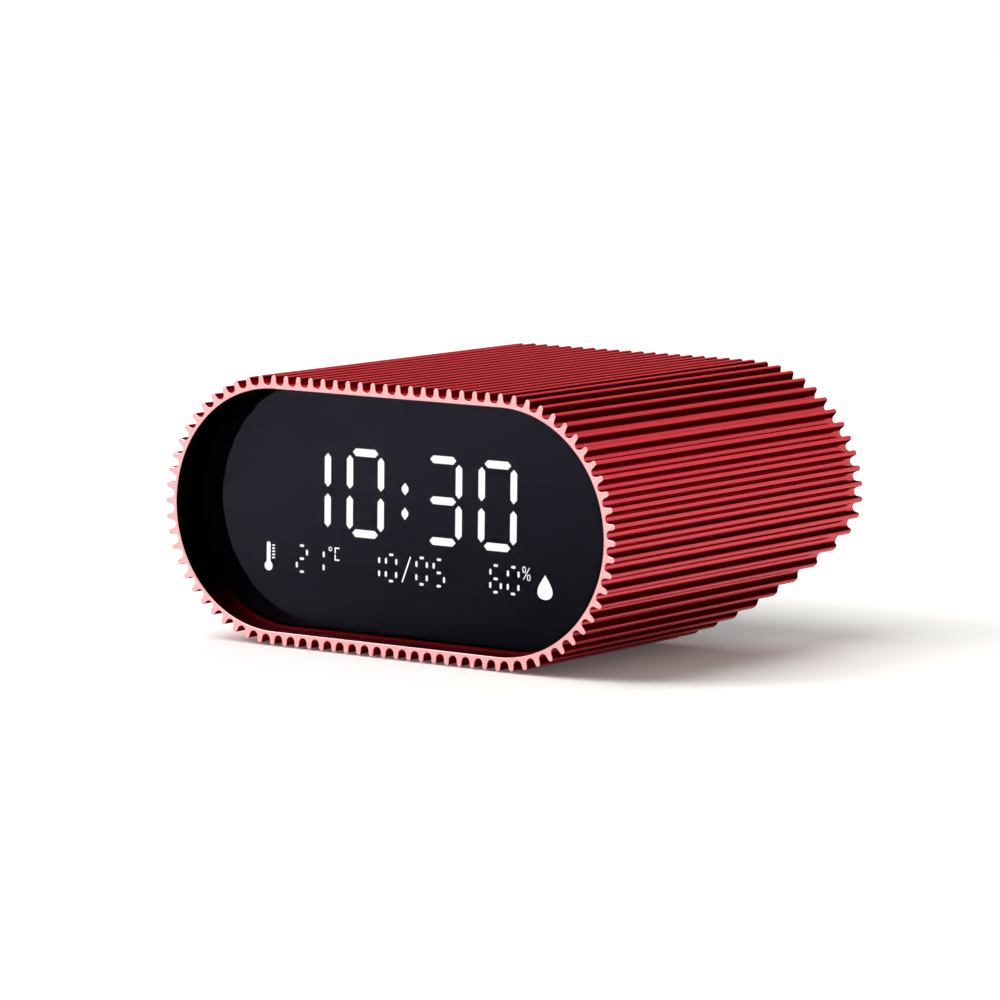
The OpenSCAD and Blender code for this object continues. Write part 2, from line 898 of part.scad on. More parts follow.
// One lead, swept along its route with a ring at every point
module battery_lead(x) {
    last = len(LEAD) - 1;
    rings = [
        for (i = [0 : last], k = [0 : lead_sides - 1])
            let (
                d = i == 0 || i == last ? [1, 0] : path_direction(LEAD, i),
                a = 360 * k / lead_sides,
                up = lead_radius * sin(a)
            )
            [x + lead_radius * cos(a), LEAD[i][0] - up * d[1] - body_d / 2, LEAD[i][1] + up * d[0] + axis_z]
    ];
    sides = [
        for (i = [0 : last - 1], k = [0 : lead_sides - 1])
            let (n = (k + 1) % lead_sides, a = i * lead_sides, b = a + lead_sides)
            [a + k, b + k, b + n, a + n]
    ];
    triangles = [for (q = sides, t = [[q[0], q[1], q[2]], [q[0], q[2], q[3]]]) t];
    start = [for (k = [0 : lead_sides - 1]) k];
    finish = [for (k = [lead_sides - 1 : -1 : 0]) last * lead_sides + k];
    polyhedron(rings, concat(triangles, [start, finish]));
}

module battery_lead_plus() {
    color("red")
        battery_lead(lead_x);
}

module battery_lead_minus() {
    color("black")
        battery_lead(-lead_x);
}

module battery_connector() {
    color("ivory")
        at([0, lead_plug_z])
            slab(main_front - battery_plug[1], battery_plug[1])
                square([battery_plug[0], battery_plug[2]], center = true);
}

module main_board() {
    color("darkgreen")
        difference() {
            slab(main_front, pcb_thickness)
                intersection() {
                    stadium(inside_radius - board_edge_gap);
                    translate([-board_half, board_bottom])
                        square([2 * board_half, inside_radius - board_bottom]);
                }
            for (p = BOARD_POSTS)
                at(p)
                    slab(main_front - cut, pcb_thickness + 2 * cut)
                        circle(clearance_radius);
        }
}

module board_screws() {
    color("silver")
        for (p = BOARD_POSTS)
            at(p)
                screw(main_front, screw_grip, true);
}

module control_chip() {
    color("black")
        at([control_chip_x, chip_row_z])
            slab(main_front - chip_height, chip_height)
                square(control_chip_size, center = true);
}

module power_chips() {
    color("black")
        slab(main_front - chip_height, chip_height)
            for (p = POWER_CHIPS)
                translate(p)
                    square(power_chip_size, center = true);
}

module buzzer() {
    color("black")
        at(BUZZER)
            difference() {
                slab(main_back, buzzer_h)
                    circle(buzzer_d / 2);
                slab(main_back + buzzer_h / 2, buzzer_h)
                    circle(clearance_radius);
            }
}

module climate_sensor() {
    color("dimgray")
        at(SENSOR)
            slab(main_back, sensor_height)
                square(sensor_size, center = true);
}

module usb_socket() {
    color("silver")
        at(USB)
            difference() {
                slab(main_back, cover_back - usb_set_back - main_back)
                    stadium(usb_radius, usb_straight);
                slab(main_back + usb_floor, cover_back - main_back)
                    stadium(usb_radius - usb_wall, usb_straight);
            }
}

module usb_tongue() {
    color("black")
        at(USB)
            slab(main_back + usb_floor, cover_back - usb_set_back - tongue_set_back - main_back - usb_floor)
                square([tongue_w, tongue_t], center = true);
}

module switch_bodies() {
    color("black")
        for (p = ALL_SWITCHES)
            at(p)
                difference() {
                    slab(main_back, switch_height)
                        square(switch_size, center = true);
                    slab(switch_back - switch_bore_depth, switch_bore_depth + cut)
                        circle(plunger_radius + plunger_gap);
                }
}

module plunger(place) {
    start = switch_back - switch_bore_depth + button_travel + plunger_end_gap;
    color("ivory")
        at(place)
            slab(start, plunger_back - start)
                circle(plunger_radius);
}

module snooze_plunger() {
    plunger(SNOOZE);
}

module set_plunger() {
    plunger(BUTTONS[0]);
}

module down_plunger() {
    plunger(BUTTONS[1]);
}

module up_plunger() {
    plunger(BUTTONS[2]);
}

module alarm_plunger() {
    plunger(BUTTONS[3]);
}

module cap_outline(r, l) {
    if (l > 0)
        stadium(r, l);
    else
        circle(r);
}

// A cap that passes through the rear cover, with a flange behind it and a stem on the plunger
module button(place, r, l = 0) {
    flange_back = cover_front - flange_gap;
    flange_front = flange_back - flange_thickness;
    cap_back = cover_back + button_proud;
    color("dimgray")
        at(place)
            difference() {
                union() {
                    slab(flange_front, cap_back - flange_front)
                        cap_outline(r, l);
                    slab(flange_front, flange_thickness)
                        cap_outline(r + flange_width, l);
                    slab(plunger_back, flange_back - plunger_back)
                        circle(stem_radius);
                }
                slab(cap_back - symbol_depth, symbol_depth + cut)
                    children();
            }
}

module snooze_bar() {
    button(SNOOZE, snooze_w / 2, snooze_l)
        stadium(symbol_bar / 2, snooze_l / 2);
}

module set_button() {
    button(BUTTONS[0], button_d / 2)
        difference() {
            circle(symbol_size / 2);
            circle(symbol_size / 2 - symbol_bar);
        }
}

module down_button() {
    button(BUTTONS[1], button_d / 2)
        square([symbol_size, symbol_bar], center = true);
}

module up_button() {
    button(BUTTONS[2], button_d / 2) {
        square([symbol_size, symbol_bar], center = true);
        square([symbol_bar, symbol_size], center = true);
    }
}

// The bell of the alarm: a dome, a brim and a clapper
module alarm_button() {
    button(BUTTONS[3], button_d / 2) {
        intersection() {
            circle(symbol_size / 2 - symbol_bar / 2);
            translate([-symbol_size / 2, -symbol_bar / 2])
                square([symbol_size, symbol_size]);
        }
        translate([0, -symbol_bar])
            square([symbol_size + symbol_bar / 2, symbol_bar], center = true);
        translate([0, -symbol_size / 2 - symbol_bar / 4])
            circle(symbol_bar / 2);
    }
}

module rear_cover() {
    color("#222222")
        difference() {
            union() {
                difference() {
                    behind_profile(cover_recess)
                        slab(reflector_back, body_d - reflector_back)
                            stadium(frame_radius);
                    side_slab(0, body_w)
                        side_profile(cover_inset);
                }
                behind_profile(cover_inset - cut)
                    for (p = BOARD_POSTS)
                        at(p)
                            slab(main_back, post_height + cut)
                                circle(board_post_radius);
            }
            slab(cover_front - cut, cover_thickness + 2 * cut) {
                for (p = BUTTONS)
                    translate(p)
                        circle(button_d / 2 + button_gap);
                translate(SNOOZE)
                    stadium(snooze_w / 2 + button_gap, snooze_l);
                translate(USB)
                    stadium(usb_radius + usb_gap, usb_straight);
                translate(BUZZER) {
                    circle(sound_hole_radius);
                    for (i = [1 : sound_hole_count])
                        rotate(360 * i / sound_hole_count)
                            translate([sound_ring_radius, 0])
                                circle(sound_hole_radius);
                }
                for (i = [0 : slot_count - 1])
                    translate([SENSOR[0] + (i - (slot_count - 1) / 2) * slot_pitch, SENSOR[1]])
                        rotate(90)
                            polygon(dash_points(slot_l, slot_w));
                for (p = COVER_POSTS)
                    translate(p)
                        circle(clearance_radius);
            }
            for (p = COVER_POSTS)
                at(p)
                    slab(cover_back - head_height, head_height + cut)
                        circle(head_radius + head_gap);
            for (p = BOARD_POSTS)
                at(p)
                    slab(main_back - cut, screw_grip - pcb_thickness + screw_end_gap + cut)
                        circle(pilot_radius);
        }
}

module cover_screws() {
    length = cover_thickness - head_height + screw_grip;
    color("black")
        for (p = COVER_POSTS)
            at(p)
                screw(cover_back - head_height, length);
}

module shell_screws() {
    length = root_radius - frame_radius + screw_grip;
    color("silver")
        for (f = FEET)
            translate([f[0], f[1] - body_d / 2, axis_z - root_radius])
                difference() {
                    union() {
                        cylinder(r = screw_radius, h = length);
                        translate([0, 0, -head_height])
                            cylinder(r = head_radius, h = head_height);
                    }
                    translate([0, 0, -head_height]) {
                        cube([driver_reach, driver_slot, 2 * driver_depth], center = true);
                        cube([driver_slot, driver_reach, 2 * driver_depth], center = true);
                    }
                }
}

module rubber_feet() {
    height = rib_height + foot_proud;
    recess = head_height + foot_head_gap;
    color("black")
        for (f = FEET)
            translate([f[0], f[1] - body_d / 2, 0])
                difference() {
                    cylinder(r = foot_d / 2, h = height);
                    translate([0, 0, height - recess])
                        cylinder(r = head_radius + foot_head_gap, h = recess + cut);
                }
}

ribbed_shell();
lens();
lens_gasket();
display_reflector();
time_windows();
time_windows_unlit();
reading_windows();
reading_windows_unlit();
icon_windows();
display_board();
time_leds();
reading_leds();
driver_chips();
display_screws();
inner_frame();
display_ribbon();
ribbon_connectors();
battery_cell();
battery_pad();
battery_lead_plus();
battery_lead_minus();
battery_connector();
main_board();
board_screws();
control_chip();
power_chips();
buzzer();
climate_sensor();
usb_socket();
usb_tongue();
switch_bodies();
snooze_plunger();
set_plunger();
down_plunger();
up_plunger();
alarm_plunger();
snooze_bar();
set_button();
down_button();
up_button();
alarm_button();
rear_cover();
cover_screws();
shell_screws();
rubber_feet();
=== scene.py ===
"""Looks of the digital alarm clock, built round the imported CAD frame.

Metres, +Z up, display facing -Y, origin under the middle of the body on the surface it stands on.
"""

import math

import bmesh
import bpy
from mathutils import Matrix, Vector


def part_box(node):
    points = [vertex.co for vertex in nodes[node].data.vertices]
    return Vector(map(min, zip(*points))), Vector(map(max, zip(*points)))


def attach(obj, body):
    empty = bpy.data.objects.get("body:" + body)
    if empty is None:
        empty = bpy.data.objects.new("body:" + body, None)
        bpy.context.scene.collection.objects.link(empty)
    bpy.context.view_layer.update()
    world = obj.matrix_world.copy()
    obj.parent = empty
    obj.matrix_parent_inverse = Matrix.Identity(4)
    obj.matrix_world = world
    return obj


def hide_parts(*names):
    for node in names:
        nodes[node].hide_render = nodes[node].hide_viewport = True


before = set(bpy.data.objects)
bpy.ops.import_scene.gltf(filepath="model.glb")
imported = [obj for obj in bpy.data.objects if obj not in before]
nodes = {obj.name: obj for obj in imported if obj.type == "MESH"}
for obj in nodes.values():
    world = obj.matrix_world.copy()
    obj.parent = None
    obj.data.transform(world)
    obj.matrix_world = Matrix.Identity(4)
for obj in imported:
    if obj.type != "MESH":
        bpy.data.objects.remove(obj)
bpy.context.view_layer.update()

MM = 0.001

# Places and sizes read from the frame
shell_low, shell_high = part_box("ribbed_shell")
lens_low, lens_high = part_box("lens")
cover_low, cover_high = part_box("rear_cover")
frame_low, frame_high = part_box("inner_frame")
FRONT_Y = shell_low.y
REAR_Y = shell_high.y
AXIS_Z = (shell_low.z + shell_high.z) / 2
TIP_RADIUS = (shell_high.z - shell_low.z) / 2
STRAIGHT = shell_high.x - shell_low.x - 2 * TIP_RADIUS
COVER_RADIUS = (frame_high.z - frame_low.z) / 2
COVER_REAR_Y = cover_high.y
COVER_FRONT_Y = frame_high.y

# Sizes of the tube that the frame's boxes don't give
LENS_GAP = 0.15 * MM
LENS_CLEAR = 0.03 * MM
BORE_RADIUS = (lens_high.z - lens_low.z) / 2 + LENS_GAP
RIB_PITCH = 3.4 * MM
RIB_HEIGHT = 2.25 * MM
RIB_HALF = 0.6 * MM
GROOVE_RADIUS = 1.05 * MM
EDGE_BREAK = 0.1 * MM
LIP_HEIGHT = 0.4 * MM
LIP_THICKNESS = 0.6 * MM
ROOT_RADIUS = TIP_RADIUS - RIB_HEIGHT
STRAIGHT_RIBS = round(STRAIGHT / RIB_PITCH)
ARC_RIBS = round(math.pi * (ROOT_RADIUS + RIB_HEIGHT / 2) / RIB_PITCH)
RIB_COUNT = 2 * (STRAIGHT_RIBS + ARC_RIBS)
ARC_STEPS = 8

# Rear of the tube from the side: upright above, then round a bend into a slope
SLOPE_ANGLE = math.radians(60.7)
SLOPE_DROP = 5.7 * MM
BEND_RADIUS = 13 * MM
BEND_Z = BEND_RADIUS * math.tan(SLOPE_ANGLE / 2) - SLOPE_DROP
BEND_STEPS = 12

# Camera, from the perspective of the rib tips in the photograph
CAMERA_AZIMUTH = math.radians(34.69)
CAMERA_ELEVATION = math.radians(6.965)
CAMERA_ROLL = math.radians(0.604)
CAMERA_DISTANCE = 1173.7 * MM
CAMERA_LENS = 195.34
CAMERA_SENSOR = 36
AIM_RIGHT = 25.08 * MM
AIM_UP = 4.65 * MM


# Materials

METAL = {"Metallic": 1.0}
BLACK = (0.0, 0.0, 0.0)
WHITE = (1.0, 1.0, 1.0)

# Grain of the noise, in features per metre along each axis
EVEN = (900, 900, 900)
FINE = (3000, 3000, 3000)
ALONG_TUBE = (2500, 4, 2500)
GRAIN_DETAIL = 3.0
GRAIN_RANGE = (0.3, 0.7)

# Ribs: heights are shares of the way from the groove bottom to the rib tip
# Painted light: the rib tips and groove bottoms carry painted highlights and the flanks painted shade,
# deepest on the right side, away from the key lamp, and painted lit red low on the left side
RIB_RED = (0.67, 0.001, 0.036)
RIB_EDGE = (0.7, 0.04, 0.09)
RIB_METAL = 0.85
RIB_COAT = 0.45
# Less coat on the top of the tube than on its sides: painted shade
TOP_COAT = 0.2
COAT_ROUGHNESS = 0.07
COAT_IOR = 2.0
FLANK_SHADE_RED = (0.09, 0.0005, 0.0015)
FLANK_LIT_RED = (0.34, 0.001, 0.004)
FLANK_LIT_FROM = 36 * MM
FLANK_LIT_TO = 6 * MM
FLANK_SHADE_ABOVE = 0.68
FLANK_LIT_BELOW = 0.48
FLANK_STOPS = [(0.12, 1.0), (0.26, 0.0), (0.84, 0.0), (0.95, 1.0)]

# Recess and display: heights are above the axis of the tube
RECESS_RED = (0.14, 0.002, 0.004)
# Inside the front edge the upper part is painted shade, black and without reflection; the deep red stays only
# low down, where the light falls
RECESS_SHADE_BLACK = (0.0005, 0.0005, 0.0005)
RECESS_SHADE_ABOVE = -17 * MM
RECESS_LIT_BELOW = -25 * MM
DISPLAY_BLACK = (0.0008, 0.0008, 0.0026)
# Painted reflection: the shine of the display fades towards the lower right
DISPLAY_SHINE = (0.72, 0.7, 1.0)
SHINE_TILT = 0.35
SHINE_LOW = -32 * MM
SHINE_HIGH = 15 * MM
SHINE_LEAST = 0.22
WINDOW_GREY = (0.4, 0.4, 0.4)
WINDOW_GLOW = 0.82
FACING_FRONT = -0.5


def node_tree(material):
    """The node tree of a material or world, and a short way to add nodes to it."""
    material.use_nodes = True
    tree = material.node_tree

    def add(kind, **values):
        made = tree.nodes.new("ShaderNode" + kind)
        for key, value in values.items():
            made.inputs[key.replace("_", " ")].default_value = value
        return made

    return tree, add


def grain_noise(tree, add, grain):
    """Noise in the object's own coordinates."""
    place = add("TexCoord")
    stretch = add("Mapping", Scale=grain)
    noise = add("TexNoise", Scale=1.0, Detail=GRAIN_DETAIL)
    tree.links.new(place.outputs["Object"], stretch.inputs["Vector"])
    tree.links.new(stretch.outputs["Vector"], noise.inputs["Vector"])
    return noise.outputs["Fac"]


def ranged(tree, add, value, start, end, low=0.0, high=1.0):
    """A value moved from one range to another and held at its ends."""
    made = add("MapRange", From_Min=start, From_Max=end, To_Min=low, To_Max=high)
    tree.links.new(value, made.inputs["Value"])
    return made.outputs["Result"]


def surface(name, colour, roughness, vary=0.1, spread=0.06, grain=EVEN, depth=0.0, sockets=()):
    """A procedural finish: colour, roughness and relief vary with one noise."""
    material = bpy.data.materials.new(name)
    tree, add = node_tree(material)
    shader = tree.nodes["Principled BSDF"]
    for key, value in dict(sockets).items():
        shader.inputs[key].default_value = value
    noise = grain_noise(tree, add, grain)
    ramp = add("ValToRGB")
    for element, place, share in zip(ramp.color_ramp.elements, GRAIN_RANGE, (1 - vary, 1 + vary)):
        element.position = place
        element.color = (*[min(c * share, 1) for c in colour], 1)
    tree.links.new(noise, ramp.inputs["Fac"])
    tree.links.new(ramp.outputs["Color"], shader.inputs["Base Color"])
    polish = ranged(tree, add, noise, 0.0, 1.0, max(roughness - spread, 0), min(roughness + spread, 1))
    tree.links.new(polish, shader.inputs["Roughness"])
    if depth:
        relief = add("Bump", Strength=1.0, Distance=depth)
        tree.links.new(noise, relief.inputs["Height"])
        tree.links.new(relief.outputs["Normal"], shader.inputs["Normal"])
    return material


def maths(tree, add, operation, *values):
    """A chain-friendly maths node; each value is a number or the output of another node."""
    made = add("Math")
    made.operation = operation
    for socket, value in zip(made.inputs, values):
        if isinstance(value, (int, float)):
            socket.default_value = value
        else:
            tree.links.new(value, socket)
    return made.outputs[0]


def position(tree, add):
    """x and the height above the axis of the tube, in metres."""
    parts = add("SeparateXYZ")
    tree.links.new(add("TexCoord").outputs["Object"], parts.inputs[0])
    return parts.outputs["X"], maths(tree, add, "SUBTRACT", parts.outputs["Z"], AXIS_Z)


def blended(tree, add, share, first, second):
    """Colour between two, each a colour or the output of another node, by a share from 0 to 1."""
    made = add("MixRGB")
    for socket, value in zip(made.inputs, (share, first, second)):
        if isinstance(value, tuple):
            socket.default_value = (*value, 1)
        else:
            tree.links.new(value, socket)
    return made.outputs["Color"]


def rib_finish():
    """Red anodised ribs with painted highlights on the tips and groove bottoms, painted shade on the matt
    flanks, deepest on the right, and less coat on the top as painted shade.
    """
    material = surface(
        "anodised_red", RIB_RED, 0.28, vary=0.05, spread=0.05, grain=ALONG_TUBE, depth=0.0006 * MM,
        sockets={
            "Coat Roughness": COAT_ROUGHNESS, "Coat IOR": COAT_IOR,
            "Specular IOR Level": 0.0, "Specular Tint": (*RIB_EDGE, 1),
        },
    )
    tree, add = node_tree(material)
    shader = tree.nodes["Principled BSDF"]
    x, z = position(tree, add)
    reach = maths(tree, add, "SUBTRACT", maths(tree, add, "ABSOLUTE", x), STRAIGHT / 2)
    reach = maths(tree, add, "MAXIMUM", reach, 0.0)
    squares = [maths(tree, add, "POWER", side, 2.0) for side in (reach, z)]
    radius = maths(tree, add, "SQRT", maths(tree, add, "ADD", *squares))
    height = ranged(tree, add, radius, ROOT_RADIUS, TIP_RADIUS)
    # Painted highlight on the tips and groove bottoms, painted shade on the flanks between
    painted_light_ramp = add("ValToRGB")
    for place, level in FLANK_STOPS:
        element = painted_light_ramp.color_ramp.elements.new(place)
        element.color = (level, level, level, 1)
    for end in (painted_light_ramp.color_ramp.elements[0], painted_light_ramp.color_ramp.elements[-1]):
        end.color = (*WHITE, 1)
    tree.links.new(height, painted_light_ramp.inputs["Fac"])
    share = painted_light_ramp.outputs["Color"]
    plain = shader.inputs["Base Color"].links[0].from_socket
    # The flanks are painted lit red low down on the left, towards the key lamp, and painted shade elsewhere
    lit = ranged(tree, add, x, FLANK_LIT_FROM, FLANK_LIT_TO)
    deep = ranged(tree, add, height, FLANK_SHADE_ABOVE, FLANK_LIT_BELOW)
    flank_shade = blended(tree, add, maths(tree, add, "MULTIPLY", lit, deep), FLANK_SHADE_RED, FLANK_LIT_RED)
    tree.links.new(blended(tree, add, share, flank_shade, plain), shader.inputs["Base Color"])
    # Less coat towards the top of the tube: painted shade
    coat = ranged(tree, add, z, 0.0, TIP_RADIUS, RIB_COAT, TOP_COAT)
    tree.links.new(maths(tree, add, "MULTIPLY", share, coat), shader.inputs["Coat Weight"])
    tree.links.new(maths(tree, add, "MULTIPLY", share, RIB_METAL), shader.inputs["Metallic"])
    return material


def recess_finish():
    """Painted shade: black without reflection inside the front edge, turning to deep red towards its bottom,
    where the light falls.
    """
    material = surface(
        "recess_red", RECESS_RED, 0.4, vary=0.08, spread=0.05, grain=ALONG_TUBE, depth=0.002 * MM,
        sockets=METAL,
    )
    tree, add = node_tree(material)
    shader = tree.nodes["Principled BSDF"]
    share = ranged(tree, add, position(tree, add)[1], RECESS_SHADE_ABOVE, RECESS_LIT_BELOW)
    plain = shader.inputs["Base Color"].links[0].from_socket
    tree.links.new(blended(tree, add, share, RECESS_SHADE_BLACK, plain), shader.inputs["Base Color"])
    tree.links.new(blended(tree, add, share, RECESS_SHADE_BLACK, WHITE), shader.inputs["Specular Tint"])
    return material


def display_finish():
    """Glossy black with a painted fade of its reflection towards the lower right."""
    material = surface(
        "black_mask", DISPLAY_BLACK, 0.02, vary=0.0, spread=0.0, sockets={"Specular IOR Level": 0.32},
    )
    tree, add = node_tree(material)
    x, z = position(tree, add)
    fall = maths(tree, add, "SUBTRACT", z, maths(tree, add, "MULTIPLY", x, SHINE_TILT))
    share = ranged(tree, add, fall, SHINE_LOW, SHINE_HIGH, SHINE_LEAST)
    shine = blended(tree, add, share, BLACK, DISPLAY_SHINE)
    tree.links.new(shine, tree.nodes["Principled BSDF"].inputs["Specular Tint"])
    return material


def lit_finish():
    """Lit white windows that shine from their front faces alone, with dark walls behind."""
    material = surface("lit_window", WINDOW_GREY, 0.5, vary=0.02, sockets={"Emission Color": (*WHITE, 1)})
    tree, add = node_tree(material)
    shader = tree.nodes["Principled BSDF"]
    facing = add("SeparateXYZ")
    tree.links.new(add("NewGeometry").outputs["Normal"], facing.inputs[0])
    front = maths(tree, add, "LESS_THAN", facing.outputs["Y"], FACING_FRONT)
    tree.links.new(maths(tree, add, "MULTIPLY", front, WINDOW_GLOW), shader.inputs["Emission Strength"])
    plain = shader.inputs["Base Color"].links[0].from_socket
    tree.links.new(blended(tree, add, front, BLACK, plain), shader.inputs["Base Color"])
    return material


anodised = rib_finish()
recess_red = recess_finish()
cut_end = surface(
    "cut_end", (0.93, 0.44, 0.45), 0.42, vary=0.03, grain=(1500, 1500, 1500), depth=0.002 * MM, sockets=METAL,
)
smoked_lens = surface(
    "smoked_lens", (0.85, 0.85, 0.86), 0.0, vary=0.0, spread=0.0,
    sockets={"Transmission Weight": 1.0, "IOR": 1.0},
)
black_mask = display_finish()
lit_window = lit_finish()
circuit_board = surface(
    "circuit_board", (0.012, 0.075, 0.03), 0.35, vary=0.5, grain=(500, 500, 1400), depth=0.02 * MM,
)
lamp_chip = surface("lamp_chip", (0.75, 0.62, 0.2), 0.4, grain=FINE)
black_chip = surface("black_chip", (0.015, 0.015, 0.016), 0.55, vary=0.25, grain=FINE, depth=0.01 * MM)
screw_steel = surface("screw_steel", (0.55, 0.54, 0.52), 0.3, grain=FINE, depth=0.003 * MM, sockets=METAL)
frame_plastic = surface("frame_plastic", (0.03, 0.031, 0.033), 0.55, vary=0.15, depth=0.02 * MM)
ribbon_film = surface("ribbon_film", (0.7, 0.71, 0.72), 0.35, vary=0.12, grain=(1000, 4, 1000))
ivory_plastic = surface("ivory_plastic", (0.75, 0.7, 0.58), 0.45, vary=0.05)
battery_foil = surface(
    "battery_foil", (0.5, 0.53, 0.58), 0.35, vary=0.12, grain=(200, 200, 200), depth=0.05 * MM, sockets=METAL,
)
grey_foam = surface("grey_foam", (0.09, 0.09, 0.09), 0.95, vary=0.35, grain=FINE, depth=0.06 * MM)
red_lead = surface("red_lead", (0.5, 0.01, 0.01), 0.45, vary=0.08)
black_lead = surface("black_lead", (0.015, 0.015, 0.015), 0.45)
socket_steel = surface(
    "socket_steel", (0.6, 0.6, 0.6), 0.28, vary=0.08, grain=(2500, 80, 2500), depth=0.003 * MM, sockets=METAL,
)
contact_gold = surface("contact_gold", (0.83, 0.58, 0.2), 0.25, vary=0.06, grain=FINE, sockets=METAL)
button_plastic = surface("button_plastic", (0.028, 0.028, 0.03), 0.42, grain=FINE, depth=0.006 * MM)
symbol_paint = surface("symbol_paint", (0.72, 0.72, 0.71), 0.6, vary=0.04, grain=FINE, depth=0.005 * MM)
cover_plastic = surface(
    "cover_plastic", (0.014, 0.014, 0.015), 0.52, vary=0.15, grain=(2200, 2200, 2200), depth=0.03 * MM,
)
black_screw = surface(
    "black_screw", (0.045, 0.045, 0.048), 0.34, vary=0.15, grain=FINE, depth=0.004 * MM, sockets=METAL,
)
foot_rubber = surface("foot_rubber", (0.012, 0.012, 0.012), 0.72, vary=0.15, grain=FINE, depth=0.02 * MM)

FINISHES = {
    "lens_gasket": black_mask, "display_reflector": black_mask,
    "time_windows": lit_window, "reading_windows": lit_window, "icon_windows": lit_window,
    "time_windows_unlit": black_mask, "reading_windows_unlit": black_mask,
    "display_board": circuit_board, "main_board": circuit_board,
    "time_leds": lamp_chip, "reading_leds": lamp_chip,
    "driver_chips": black_chip, "control_chip": black_chip, "power_chips": black_chip, "buzzer": black_chip,
    "climate_sensor": black_chip, "switch_bodies": black_chip, "usb_tongue": black_chip,
    "display_screws": screw_steel, "board_screws": screw_steel, "shell_screws": screw_steel,
    "inner_frame": frame_plastic, "display_ribbon": ribbon_film, "ribbon_connectors": ivory_plastic,
    "battery_connector": ivory_plastic, "battery_cell": battery_foil,
    "battery_lead_plus": red_lead, "battery_lead_minus": black_lead, "cover_screws": black_screw,
}
FINISHES.update({name + "_plunger": ivory_plastic for name in ("snooze", "set", "down", "up", "alarm")})
for name, finish in FINISHES.items():
    nodes[name].data.materials.clear()
    nodes[name].data.materials.append(finish)


# Meshes

SHARP = math.radians(32)
ROUND_STEPS = 24
SMOOTH_STEPS = 32
WIDE_STEPS = 64


def piece(name, bm, finishes, body, replaced=()):
    """Turns a bmesh into a named piece that rides on a body."""
    bmesh.ops.recalc_face_normals(bm, faces=bm.faces)
    mesh = bpy.data.meshes.new(name)
    bm.to_mesh(mesh)
    bm.free()
    for finish in finishes:
        mesh.materials.append(finish)
    made = bpy.data.objects.new(name, mesh)
    bpy.context.scene.collection.objects.link(made)
    shade(made)
    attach(made, body)
    if replaced:
        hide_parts(*replaced)
    return made


def shade(made):
    """Smooth shading with sharp edges kept sharp."""
    made.data.shade_smooth()
    made.data.set_sharp_from_angle(angle=SHARP)


def carve(made, cutters):
    """Cuts bmesh shapes out of a piece in turn; the cut faces take the piece's last finish."""
    finish = made.data.materials[-1]
    for cutter in cutters:
        bmesh.ops.recalc_face_normals(cutter, faces=cutter.faces)
        mesh = bpy.data.meshes.new("cutter")
        cutter.to_mesh(mesh)
        cutter.free()
        mesh.materials.append(finish)
        tool = bpy.data.objects.new("cutter", mesh)
        bpy.context.scene.collection.objects.link(tool)
        modifier = made.modifiers.new("carve", "BOOLEAN")
        modifier.operation = "DIFFERENCE"
        modifier.solver = "EXACT"
        modifier.material_mode = "TRANSFER"
        modifier.object = tool
        bpy.context.view_layer.update()
        carved = made.evaluated_get(bpy.context.evaluated_depsgraph_get())
        result = bpy.data.meshes.new_from_object(carved)
        made.modifiers.clear()
        made.data = result
        bpy.data.objects.remove(tool)
    shade(made)


def add_ring(bm, points):
    """Vertices at a list of points."""
    return [bm.verts.new(p) for p in points]


def ring_at(bm, outline, y, centre):
    """Vertices along an outline of points (x, z) about a centre, at one depth."""
    return add_ring(bm, [(centre[0] + x, y, centre[1] + z) for x, z in outline])


def join_rings(bm, first, second, finish=0):
    """Faces between two closed rings of as many points."""
    count = len(first)
    for i in range(count):
        face = bm.faces.new((first[i], first[(i + 1) % count], second[(i + 1) % count], second[i]))
        face.material_index = finish


def stadium(radius, straight=0.0, steps=ROUND_STEPS, turned=False):
    """Points (x, z) round a circle, or round two half circles a straight length apart."""
    points = []
    for side in (1, -1):
        for i in range(steps + 1 if straight else steps):
            a = math.pi * (i / steps - 0.5) + (0 if side > 0 else math.pi)
            points.append((side * straight / 2 + radius * math.cos(a), radius * math.sin(a)))
    return [(-z, x) for x, z in points] if turned else points


def lathe(bm, profile, centre, straight=0.0, steps=ROUND_STEPS, closed=False):
    """A profile of (radius, y) taken round an axis along y, with capped ends unless the profile is closed."""
    rings = [ring_at(bm, stadium(radius, straight, steps), y, centre) for radius, y in profile]
    for first, second in zip(rings, rings[1:] + rings[:1] if closed else rings[1:]):
        join_rings(bm, first, second)
    if not closed:
        for end in (rings[0], rings[-1]):
            bm.faces.new(end)


def prism(bm, outline, y_from, y_to, centre):
    """An outline of points (x, z) made solid between two depths."""
    ends = [ring_at(bm, outline, y, centre) for y in (y_from, y_to)]
    join_rings(bm, *ends)
    for end in ends:
        bm.faces.new(end)


def rounded(corner, radius, quarter, steps):
    """Profile points round an outer corner (r, y); quarter gives the two outward directions in order."""
    r_side, y_side = quarter
    r_middle = corner[0] - radius * r_side
    y_middle = corner[1] - radius * y_side
    return [
        (r_middle + r_side * radius * math.cos(a), y_middle + y_side * radius * math.sin(a))
        for a in (math.pi / 2 * i / steps for i in range(steps + 1))
    ]


# Ribbed tube

# Places of the finishes in the tube's list
CUT, RIBS, RECESS = range(3)


def station(s):
    """Centre x and outward angle at a place along the outline, counted in ribs."""
    half = STRAIGHT_RIBS + ARC_RIBS
    side = 1 if s % RIB_COUNT < half else -1
    s = s % half
    if s <= STRAIGHT_RIBS:
        return side * STRAIGHT * (s / STRAIGHT_RIBS - 0.5), side * math.pi / 2
    return side * STRAIGHT / 2, side * math.pi / 2 - math.pi * (s - STRAIGHT_RIBS) / ARC_RIBS


